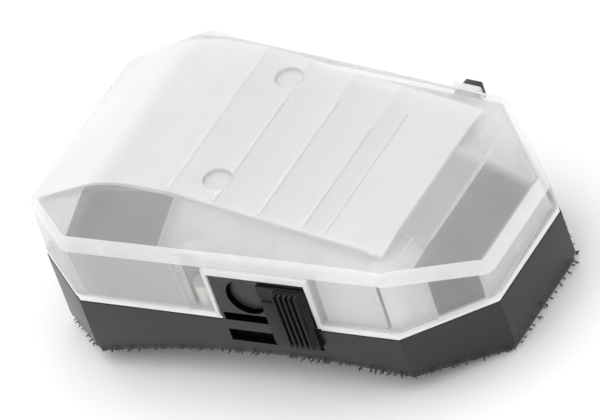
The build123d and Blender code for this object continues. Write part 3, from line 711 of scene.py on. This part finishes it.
def put(piece, matrix):
    """Places the piece by a matrix and leaves its object at the origin."""
    piece.matrix_world = matrix @ piece.matrix_world
    only(piece)
    bpy.ops.object.transform_apply(location=True, rotation=True, scale=True)
    return piece


def paint(piece, *slots):
    """Fills the piece's material slots in order; its faces keep their indices."""
    while len(piece.data.materials) < len(slots):
        piece.data.materials.append(None)
    for place, slot in enumerate(slots):
        piece.data.materials[place] = MATERIALS[slot]


def finish_piece(piece, body, slot, stands_for=(), material=None):
    """Gives the piece its body and its material, picked by the slot unless another is named, and hides the
    CAD nodes that it stands for.
    """
    if not len(piece.data.materials):
        paint(piece, material or slot)
    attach(piece, body)
    if stands_for:
        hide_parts(*stands_for)


def refined(node, body, slot, width=0.15, segments=2, material=None, rim=None):
    """A copy of a CAD node with its edges softened; rim is the finish of those edges."""
    piece = copy_of(frame["nodes"][node], node + "_soft")
    piece.parent = None
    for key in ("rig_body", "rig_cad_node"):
        del piece[key]
    piece.data.materials.clear()
    edit(piece)
    bpy.ops.mesh.select_all(action="SELECT")
    bpy.ops.mesh.remove_doubles(threshold=0.000002)
    bpy.ops.mesh.dissolve_limited(angle_limit=math.radians(1.0))
    done()
    if rim:
        paint(piece, material or slot, rim)
    soften(piece, width * MM, segments, material=1 if rim else -1)
    finish_piece(piece, body, slot, [node], material)
    return piece


# ---------------------------------------------------------------- the cover
def cover_ring(x, top_half, top_rise, inset=0.0, foot=FOOT):
    """Corners of the cover's cross-section, from the front foot over the roof to the back foot."""
    rise = wall_rise(x)
    wall = seam_half(x) - WALL_DRAFT * rise - inset
    corner = top_half - 0.45 * inset
    front = [
        (x, -seam_half(x) + inset, foot), (x, -wall, rise - 0.45 * inset), (x, -corner, top_rise - inset),
    ]
    return front + [(x, -y, z) for x, y, z in reversed(front)]


def run_of_rings(name, rings):
    """A closed body through rings of points: a disc is set on the first ring and extruded on."""
    piece = add("circle", name, vertices=len(rings[0]), fill_type="NGON")
    for vertex, point in zip(piece.data.vertices, rings[0]):
        vertex.co = point
    edit(piece)
    bpy.ops.mesh.select_all(action="SELECT")
    last = rings[0]
    for ring in rings[1:]:
        bpy.ops.mesh.extrude_region_move()
        mesh = bmesh.from_edit_mesh(piece.data)
        for vertex in (v for v in mesh.verts if v.select):
            nearest = min(range(len(last)), key=lambda i: (Vector(last[i]) - vertex.co).length)
            vertex.co = ring[nearest]
        bmesh.update_edit_mesh(piece.data)
        last = ring
    bpy.ops.mesh.select_all(action="SELECT")
    bpy.ops.mesh.remove_doubles(threshold=0.05)
    bpy.ops.mesh.normals_make_consistent(inside=False)
    done()
    return piece


EDGE_WIDTHS = (1.1, 0.6, 0.35)    # upright corners, roof's sides, low end's ridges
# of the cover's finishes, the second paints highlights on edges, the fourth paints shade on rims, the fifth a
# softer highlight on the low end's ridge, the sixth paints light on the posts
PLAIN, EDGE_HIGHLIGHT, INNER, RIM_SHADE, RIDGE, LIT_POST = range(6)    # the cover's materials
COVER_FINISHES = ("clear_plastic", "bright_edge", "inner_face", "dimple_rim", "soft_edge", "post")


def cover_edge_width(first, second, sizes):
    """How wide the soft band on the cover's edge between two corners is, or 0 for a flat seam."""
    def kind(point):
        if abs(point.z - FOOT) < 0.01:
            return "foot"
        return "edge" if abs(point.z - wall_rise(point.x)) < 0.05 else "top"

    def is_at(point, *places):
        return any(abs(point.x - place) < 0.01 for place in places)

    first, second = sorted((first, second), key=lambda point: abs(point.x), reverse=True)
    kinds = sorted((kind(first), kind(second)))
    ends = (-LENGTH / 2, LENGTH / 2)
    if kinds == ["edge", "edge"]:
        return sizes.edge
    if kinds == ["edge", "foot"]:
        return EDGE_WIDTHS[0] if is_at(first, *ends, *CORNER_X) else 0
    if kinds == ["edge", "top"]:
        return EDGE_WIDTHS[1] if is_at(first, *ends, *CORNER_X) else 0
    if kinds == ["top", "top"] and first.y * second.y > 0:
        return EDGE_WIDTHS[1]
    if kinds == ["top", "top"]:
        if is_at(first, *ends):
            return sizes.edge
        if is_at(first, CREST_X):
            return sizes.crest
        return EDGE_WIDTHS[2] if is_at(first, *RIDGES) else 0
    return 0


def rounded_block(name, low, high, width, index):
    """A block with soft edges, all of one material index."""
    piece = soften(block(name, low, high), width)
    return paint_index(piece, index)


def is_on_ledge(point):
    """Whether the point lies on the soft edge where wall meets roof."""
    near_side = abs(point.y) > seam_half(point.x) - 2.6
    near_end = abs(point.x) > LENGTH / 2 - 1.8
    return abs(point.z - wall_rise(point.x)) < 1.4 and (near_side or near_end)


def make_outer(sizes):
    """The cover's outer shape: rings with soft edges, window frame, collar, ribs and dimples."""
    outer = run_of_rings("cover", [cover_ring(*line) for line in roof_lines()])
    paint_index(outer, PLAIN)
    outer.data.materials.append(None)
    edit(outer)
    widest = max(sizes.crest, sizes.edge)
    for width in (sizes.edge, *EDGE_WIDTHS, sizes.crest):
        pick(
            outer, "edges",
            lambda e: abs(cover_edge_width(*(v.co for v in e.verts), sizes) - width) < 1e-4,
        )
        bpy.ops.transform.edge_bevelweight(value=width / widest)
    done()
    # the bevelled edges take the whiter finish as a painted highlight
    modify(
        outer, "BEVEL", width=widest, segments=4, limit_method="WEIGHT", material=EDGE_HIGHLIGHT,
        use_clamp_overlap=True, loop_slide=True,
    )
    # off the ledge the bevels go back to the plain finish, but the low end's ridge keeps a softer painted
    # highlight
    for face in outer.data.polygons:
        if face.material_index and not is_on_ledge(face.center):
            face.material_index = RIDGE if abs(face.center.x - RIDGES[1]) < 0.5 else PLAIN
    # the window frame, collar and ribs carry the painted highlight too
    half, top = WINDOW_FRAME
    frame_block = rounded_block("frame", (-half, FOOT, -1.2), (half, top, 0.25), 0.2, EDGE_HIGHLIGHT)
    combine(outer, in_deck(frame_block, FRONT), "UNION")
    half, foot, top = COLLAR
    collar = rounded_block("collar", (-half, foot, -1.0), (half, top, 0.5), 0.35, EDGE_HIGHLIGHT)
    combine(outer, in_deck(collar, REAR), "UNION")
    for place, end, width in ROOF_RIBS:
        half = sizes.rib * width / 2
        rib = rounded_block("rib", (-half, RIB_START, -0.5), (half, end, 0.16), 0.1, EDGE_HIGHLIGHT)
        combine(outer, on_roof(rib, place), "UNION")
    place, aside = DIMPLE_AT
    # the dimples' walls are painted dark as painted shade
    for side in (-1, 1):
        dimple = paint_index(drum("dimple", sizes.dimple, -0.7, 3.0, (0, side * aside), 64), RIM_SHADE)
        for face in dimple.data.polygons:
            if abs(face.normal.z) > 0.5:
                face.material_index = PLAIN
        combine(outer, on_roof(dimple, place), "DIFFERENCE")
    return outer


def make_cavity(sizes):
    """The room inside the cover, less the screw posts and the thick rims of its two openings."""
    room = roof_lines()[1:-1]
    ends = [(ROOF[0][0] + sizes.wall, *ROOF[0][1:]), (ROOF[-1][0] - sizes.wall, *ROOF[-1][1:])]
    ends = [(x, half, rise + 0.4 * sizes.wall) for x, half, rise in ends]
    rings = [cover_ring(*line, sizes.wall, -1.0) for line in (ends[0], *room, ends[1])]
    cavity = paint_index(run_of_rings("cavity", rings), INNER)
    # the posts and gussets take that whiter finish as painted light
    for x, y in POSTS:
        post = drum("post", POST_RADIUS, BELOW, POST_TOP, (x, y))
        combine(cavity, paint_index(post, LIT_POST), "DIFFERENCE")
        wall = math.copysign(seam_half(x), y)
        gusset = block(
            "gusset", (x - GUSSET_HALF, min(y, wall), BELOW), (x + GUSSET_HALF, max(y, wall), POST_TOP - 2.0)
        )
        combine(cavity, paint_index(gusset, LIT_POST), "DIFFERENCE")
    # the window's sill and the collar's rim carry the painted highlight
    half, top = WINDOW_SILL
    sill = paint_index(block("sill", (-half, BELOW, -2.6), (half, top, 0)), EDGE_HIGHLIGHT)
    combine(cavity, in_deck(sill, FRONT), "DIFFERENCE")
    half, foot, top = COLLAR
    rim = paint_index(block("rim", (-half, foot, -2.1), (half, top - 0.1, 0)), EDGE_HIGHLIGHT)
    combine(cavity, in_deck(rim, REAR), "DIFFERENCE")
    return cavity


def make_cover(sizes):
    """The cover: its outer shape less the cavity, the openings and the insert holes."""
    cover = make_outer(sizes)
    combine(cover, make_cavity(sizes), "DIFFERENCE")
    # the cut faces of the window and the button's hole carry the painted highlight
    half, top = WINDOW
    window = paint_index(block("window", (-half, -5, -6), (half, top, 5)), EDGE_HIGHLIGHT)
    combine(cover, in_deck(window, FRONT), "DIFFERENCE")
    half, foot, top = KEYHOLE
    keyhole = paint_index(block("button_hole", (-half, foot, -6), (half, top, 5)), EDGE_HIGHLIGHT)
    combine(cover, in_deck(keyhole, REAR), "DIFFERENCE")
    # the insert holes are lined with the posts' painted light finish
    radius, top = INSERT_HOLE
    for spot in POSTS:
        hole = drum("insert_hole", radius, BELOW, top, spot)
        combine(cover, paint_index(hole, LIT_POST), "DIFFERENCE")
    smooth(cover, 28.0)
    put(cover, DECK)
    paint(cover, *COVER_FINISHES)
    return cover


def paint_index(piece, index):
    """Gives every face of the piece that material index, with empty slots up to it."""
    while len(piece.data.materials) <= index:
        piece.data.materials.append(None)
    for face in piece.data.polygons:
        face.material_index = index
    return piece


def in_deck(piece, matrix):
    """Moves a piece drawn on a wall into the deck's own millimetres."""
    return put(piece, DECK.inverted() @ matrix)


def on_roof(piece, place):
    """Moves a piece onto the roof's long slope, with its own z square to the slope."""
    start, end = (ROOF[line] for line in SLOPE)
    fall = math.atan2(start[2] - end[2], end[0] - start[0])
    spot = Matrix.Translation((place, 0, roof_rise(place)))
    return put(piece, spot @ Matrix.Rotation(fall, 4, "Y"))


# ---------------------------------------------------------------- the hook pad
def arch_height(x):
    """Height of the pad's lower face over the floor, at x in the light's own frame."""
    low = -(LENGTH / 2 - PAD_INSET) * math.cos(TILT) - TRAY_DEPTH[0] * math.sin(TILT)
    high = (LENGTH / 2 - PAD_INSET) * math.cos(TILT) - TRAY_DEPTH[1] * math.sin(TILT)
    shift = DECK.to_translation().x / MM
    middle = shift + (low + high) / 2
    radius = ((high - low) ** 2 / 4 + ARCH_RISE**2) / (2 * ARCH_RISE)
    return math.sqrt(radius**2 - (x - middle) ** 2) - radius + ARCH_RISE


def make_hook(height):
    """One hook: a thin stem, square in section, whose tip is spun over into a curl."""
    hook = add("circle", "hook", vertices=4, radius=0.11, fill_type="NGON")
    edit(hook)
    bpy.ops.mesh.select_all(action="SELECT")
    bpy.ops.mesh.extrude_region_move(TRANSFORM_OT_translate={"value": (0, 0, -height * 0.6)})
    bpy.ops.mesh.spin(
        steps=4, angle=math.radians(205.0), center=(0, height * 0.27, -height * 0.6), axis=(1, 0, 0)
    )
    bpy.ops.mesh.select_all(action="SELECT")
    bpy.ops.mesh.remove_doubles(threshold=0.001)
    bpy.ops.mesh.normals_make_consistent(inside=False)
    done()
    return hook


def rim_spots(rng):
    """Places round the pad's rim, each with the turn that faces a hook outwards."""
    corners = [(-LENGTH / 2, -END_HALF[0]), (CORNER_X[0], -CORNER_HALF[0]), (CORNER_X[1], -CORNER_HALF[1])]
    corners.append((LENGTH / 2, -END_HALF[1]))
    corners += [(x, -y) for x, y in reversed(corners)]
    for first, last in zip(corners, corners[1:] + corners[:1]):
        side = Vector(last) - Vector(first)
        outward = math.atan2(side.y, side.x) + math.pi
        along = rng.uniform(0.4, 1.2)
        while along < side.length - 0.4:
            spot = Vector(first) + side.normalized() * along
            yield spot.x * 0.99, spot.y * 0.99, outward
            along += rng.uniform(0.7, 2.2)


def make_hook_pad(sizes):
    """Backing and hooks. The hooks stand in rows that lean alternately to the front and back."""
    backing = refined("hook_pad", "casing", "hook_fabric", 0.15)
    rng = random.Random(7)
    hook = make_hook(sizes.hook)
    shape = np.array([v.co for v in hook.data.vertices])
    faces = [tuple(f.vertices) for f in hook.data.polygons]
    bpy.data.objects.remove(hook)
    points, polygons = [], []
    columns = int(LENGTH / sizes.pitch) + 2
    rows = int(2 * CORNER_HALF[0] / sizes.pitch) + 2
    for column in range(columns):
        for row in range(rows):
            x = (column - columns / 2) * sizes.pitch + rng.uniform(-0.15, 0.15)
            y = (row - rows / 2 + 0.5 * (column % 2)) * sizes.pitch + rng.uniform(-0.15, 0.15)
            if not -LENGTH / 2 + 0.4 < x < LENGTH / 2 - 0.7 or abs(y) > seam_half(x) - 0.35:
                continue
            turn = rng.gauss(0.0, 0.5) + (math.pi if row % 2 else 0.0)
            size = rng.uniform(0.85, 1.15)
            c, s = math.cos(turn) * size, math.sin(turn) * size
            turned = shape @ np.array([[c, s, 0], [-s, c, 0], [0, 0, size]])
            first = len(points)
            points.extend(turned + np.array([x, y, arch_height(x) + 1.0]))
            polygons.extend(tuple(first + i for i in face) for face in faces)
    for x, y, outward in rim_spots(rng):
        turn = outward + rng.gauss(0.0, 0.35)
        lean, size = rng.uniform(0.5, 1.2), rng.uniform(0.7, 1.15)
        matrix = Matrix.Rotation(turn, 3, "Z") @ Matrix.Rotation(lean, 3, "X") * size
        turned = shape @ np.array(matrix).T
        first = len(points)
        points.extend(turned + np.array([x, y, arch_height(x) + 0.9]))
        polygons.extend(tuple(first + i for i in face) for face in faces)
    mesh = bpy.data.meshes.new("pad_hooks")
    mesh.from_pydata([tuple(p * MM) for p in points], [], polygons)
    hooks = bpy.data.objects.new("pad_hooks", mesh)
    bpy.context.scene.collection.objects.link(hooks)
    smooth(hooks, 60.0)
    finish_piece(hooks, "casing", "hook_fabric")
    return backing


def shade_pockets(tray):
    """The sides and floors of the front panel's slots and bore are painted near black and rough: painted
    shade in the recesses.
    """
    tray.data.materials.append(MATERIALS["pocket_black"])
    to_panel = FRONT.inverted()
    half, foot, top = POCKETS
    for face in tray.data.polygons:
        place = to_panel @ face.center
        if abs(place.x) < half and foot < place.y < top and -4.6 < place.z < -0.25:
            face.material_index = 1


# ---------------------------------------------------------------- operators
class MARKER_OT_cover(bpy.types.Operator):
    """Model the clear cover with its window, ribs, dimples and screw bosses"""

    bl_idname = "marker.cover"
    bl_label = "Cover"

    def execute(self, context):
        cover = make_cover(context.scene.marker_shell)
        finish_piece(cover, "casing", "clear_plastic", ["lens_cover"])
        return {"FINISHED"}


class MARKER_OT_tray(bpy.types.Operator):
    """Soften the tray and the seam gasket"""

    bl_idname = "marker.tray"
    bl_label = "Tray and gasket"

    def execute(self, context):
        shade_pockets(refined("base_tray", "casing", "tray_plastic", 0.22, 3))
        refined("seam_gasket", "casing", "gasket_rubber", 0.15)
        return {"FINISHED"}


class MARKER_OT_hook_pad(bpy.types.Operator):
    """Model the hook pad with its rows of hooks"""

    bl_idname = "marker.hook_pad"
    bl_label = "Hook pad"

    def execute(self, context):
        make_hook_pad(context.scene.marker_dark)
        return {"FINISHED"}


class MARKER_OT_controls(bpy.types.Operator):
    """Soften the slider, the buttons and their switches"""

    bl_idname = "marker.controls"
    bl_label = "Controls"

    def execute(self, context):
        refined("mode_slider", "slider", "slider_plastic", 0.1)
        refined("slider_retainer", "slider", "slider_plastic", 0.08)
        refined("switch_toggle", "toggle", "component_black", 0.08)
        refined("mode_button", "mode_key", "button_rubber", 0.08)
        refined("rear_button", "rear_key", "button_rubber", 0.1)
        refined("slide_switch", "casing", "switch_metal", 0.1)
        refined("mode_switch", "casing", "switch_metal", 0.1)
        refined("rear_switch", "casing", "component_black", 0.1)
        refined("switch_board", "casing", "board_laminate", 0.06)
        refined("indicator_led", "casing", "led_package", 0.08)
        return {"FINISHED"}


INNER_WORKS = (
    # the liner's rims carry the painted highlight
    ("inner_liner", "frosted_plastic", 0.3, None, "bright_edge"),
    # the light guide's rims are painted dark as painted shade
    ("light_guide", "clear_plastic", 0.2, "guide_plastic", "dimple_rim"),
    ("circuit_board", "board_laminate", 0.06, None, None),
    ("wide_reflector", "reflector_white", 0.2, None, None),
    ("narrow_reflector", "reflector_white", 0.2, None, None),
    ("visible_leds", "led_package", 0.1, None, None),
    ("signal_leds", "led_package", 0.1, None, None),
    ("infrared_housing", "housing_black", 0.2, None, None),
    ("infrared_leds", "infrared_lens", 0.05, None, None),
    ("driver_chip", "component_black", 0.08, None, None),
    ("power_inductor", "component_black", 0.12, None, None),
    ("filter_capacitors", "ceramic_tan", 0.08, None, None),
    ("battery_cell", "cell_wrap", 0.05, None, None),
    ("battery_cradle", "housing_black", 0.15, None, None),
    ("positive_contact", "contact_nickel", 0.06, None, None),
    ("negative_spring", "contact_nickel", 0.05, None, None),
    ("positive_lead", "lead_red", 0.05, None, None),
    ("negative_lead", "lead_black", 0.05, None, None),
    ("board_screws", "screw_steel", 0.08, None, None),
    ("cover_screws", "screw_steel", 0.12, None, None),
    ("cover_inserts", "insert_brass", 0.1, None, None),
)


# boxes moulded on the liner over the front panel: low and high corner, drawn on the panel
HOODS = (
    ((-9.9, 11.4, -9.5), (9.3, 13.7, -6.7)),
    ((11.2, 5.0, -9.5), (17.2, 12.3, -5.3)),
)


def make_hoods():
    """The liner's boxes over the front panel."""
    hoods = [in_deck(rounded_block("hood", low, high, 0.3, 1), FRONT) for low, high in HOODS]
    for hood in hoods:
        # the small faces, the hoods' rounded edges, carry the painted highlight
        for face in hood.data.polygons:
            face.material_index = 0 if face.area > 6.0 else 1
    piece = put(join("liner_hoods", hoods), DECK)
    paint(piece, "frosted_plastic", "bright_edge")
    finish_piece(smooth(piece), "casing", "frosted_plastic")


class MARKER_OT_inner_works(bpy.types.Operator):
    """Soften the liner, the board, the lamps, the cell and what holds them"""

    bl_idname = "marker.inner_works"
    bl_label = "Inner works"

    def execute(self, context):
        for node, slot, width, material, rim in INNER_WORKS:
            refined(node, "casing", slot, width, material=material, rim=rim)
        make_hoods()
        return {"FINISHED"}


class MARKER_OT_stage(bpy.types.Operator):
    """Set up the pale floor, the soft light and the camera"""

    bl_idname = "marker.stage"
    bl_label = "Stage"

    def execute(self, context):
        make_floor()
        make_lights()
        make_camera()
        return {"FINISHED"}


def make_floor():
    """A wide pale floor with a faint mottling."""
    floor = add("plane", "studio_floor", size=6.0)
    finish = Finish("studio_floor", (0.95, 0.95, 0.95), 0.8)
    mottle = finish.noise(3.0, 2.0)
    finish.set(Base_Color=finish.tint(mottle, (0.985, 0.985, 0.985), (0.995, 0.995, 0.995)))
    floor.data.materials.append(finish.material)


def make_lights():
    """White surroundings, a broad soft light above and a weak one from the left."""
    world = bpy.data.worlds.new("studio")
    world.use_nodes = True
    world.node_tree.nodes["Background"].inputs[0].default_value = (1, 1, 1, 1)
    world.node_tree.nodes["Background"].inputs[1].default_value = 1.0
    bpy.context.scene.world = world
    for name, place, size, power in (
        ("soft_top", (-0.25, 0.1, 0.75), 0.6, 1.2),
        ("soft_left", (-0.7, -0.35, 0.35), 0.4, 0.35),
    ):
        bpy.ops.object.light_add(type="AREA", location=place)
        light = bpy.context.object
        light.name = name
        light.data.size = size
        light.data.energy = power
        light.rotation_euler = (-Vector(place)).to_track_quat("-Z", "Y").to_euler()


CAMERA_AZIMUTH = 44.2
CAMERA_RISE = 37.3
CAMERA_ROLL = 23.2
CAMERA_DISTANCE = 1.5
CAMERA_LENS = 553.0
CAMERA_SHIFT = (-0.4, -1.7)       # where it aims, to the right of and above the box's middle


def make_camera():
    """A long lens from the front right and above, rolled to the left."""
    azimuth, rise = math.radians(CAMERA_AZIMUTH), math.radians(CAMERA_RISE)
    back = Vector((math.sin(azimuth) * math.cos(rise), -math.cos(azimuth) * math.cos(rise), math.sin(rise)))
    turn = (-back).to_track_quat("-Z", "Y").to_matrix() @ Matrix.Rotation(math.radians(-CAMERA_ROLL), 3, "Z")
    right, up = turn.col[0], turn.col[1]
    aim = (CAD_BOX[0] + CAD_BOX[1]) / 2 + (right * CAMERA_SHIFT[0] + up * CAMERA_SHIFT[1]) * MM
    bpy.ops.object.camera_add(location=aim + back * CAMERA_DISTANCE, rotation=turn.to_euler())
    camera = bpy.context.object
    camera.name = "studio_camera"
    camera.data.lens = CAMERA_LENS
    camera.data.clip_start = 0.05
    bpy.context.scene.camera = camera
    bpy.context.scene.view_settings.view_transform = "Standard"
    bpy.context.scene.cycles.transparent_max_bounces = 24


class MARKER_PT_panel(bpy.types.Panel):
    """Lists the pieces and their sizes"""

    bl_idname = "MARKER_PT_panel"
    bl_label = "Marker light"
    bl_space_type = "VIEW_3D"
    bl_region_type = "UI"
    bl_category = "Marker light"

    def draw(self, context):
        for group in (context.scene.marker_shell, context.scene.marker_dark):
            for name in group.__annotations__:
                self.layout.prop(group, name)
        for operator in STEPS:
            self.layout.operator(operator.bl_idname)


STEPS = (
    MARKER_OT_stage,
    MARKER_OT_cover,
    MARKER_OT_tray,
    MARKER_OT_hook_pad,
    MARKER_OT_controls,
    MARKER_OT_inner_works,
)
CLASSES = (SHELL_PG_sizes, SHELL_PG_dark, *STEPS, MARKER_PT_panel)


def register():
    for item in CLASSES:
        bpy.utils.register_class(item)
    bpy.types.Scene.marker_shell = PointerProperty(type=SHELL_PG_sizes)
    bpy.types.Scene.marker_dark = PointerProperty(type=SHELL_PG_dark)


def unregister():
    del bpy.types.Scene.marker_dark
    del bpy.types.Scene.marker_shell
    for item in reversed(CLASSES):
        bpy.utils.unregister_class(item)


def main():
    register()
    MATERIALS.update(make_materials())
    for step in STEPS:
        group, name = step.bl_idname.split(".")
        getattr(getattr(bpy.ops, group), name)()


if __name__ == "__main__":
    main()
